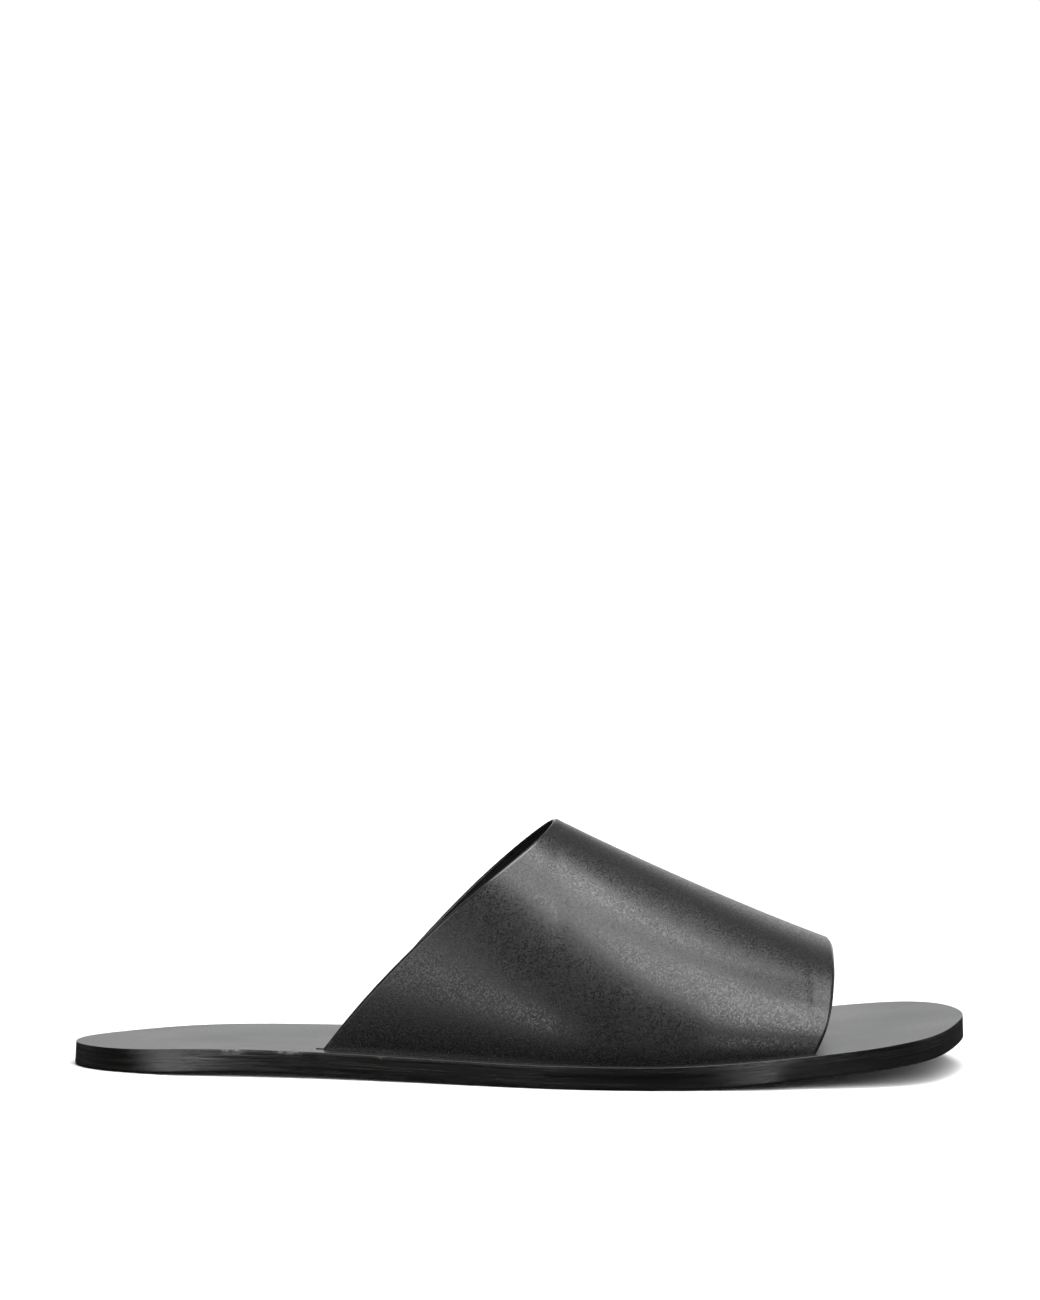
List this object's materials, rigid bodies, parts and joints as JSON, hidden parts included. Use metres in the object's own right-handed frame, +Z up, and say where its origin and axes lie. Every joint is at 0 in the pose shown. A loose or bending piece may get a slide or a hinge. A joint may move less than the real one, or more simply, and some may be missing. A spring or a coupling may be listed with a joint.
{
  "type": "slide sandal",
  "caption": "Flat right-foot slide sandal: one wide leather band over the instep, its lower edges slotted through a smooth leather insole on a thin flared leather outsole.",
  "frame": {"origin": "on the floor, under the middle of the sandal's bounding box", "axes": "+X from heel to toe, +Y to the medial (inner) side, +Z up"},
  "size_m": [0.2614, 0.088, 0.0723],
  "materials": {
    "band_leather": "fine-grained black calf with a soft satin sheen and painted edges",
    "insole_leather": "smooth dyed sole leather, satin",
    "sole_leather": "burnished black edge, matt underside"
  },
  "bodies": {
    "root": {"upper": "band_leather", "insole": "insole_leather", "outsole": "sole_leather"}
  },
  "joints": []
}
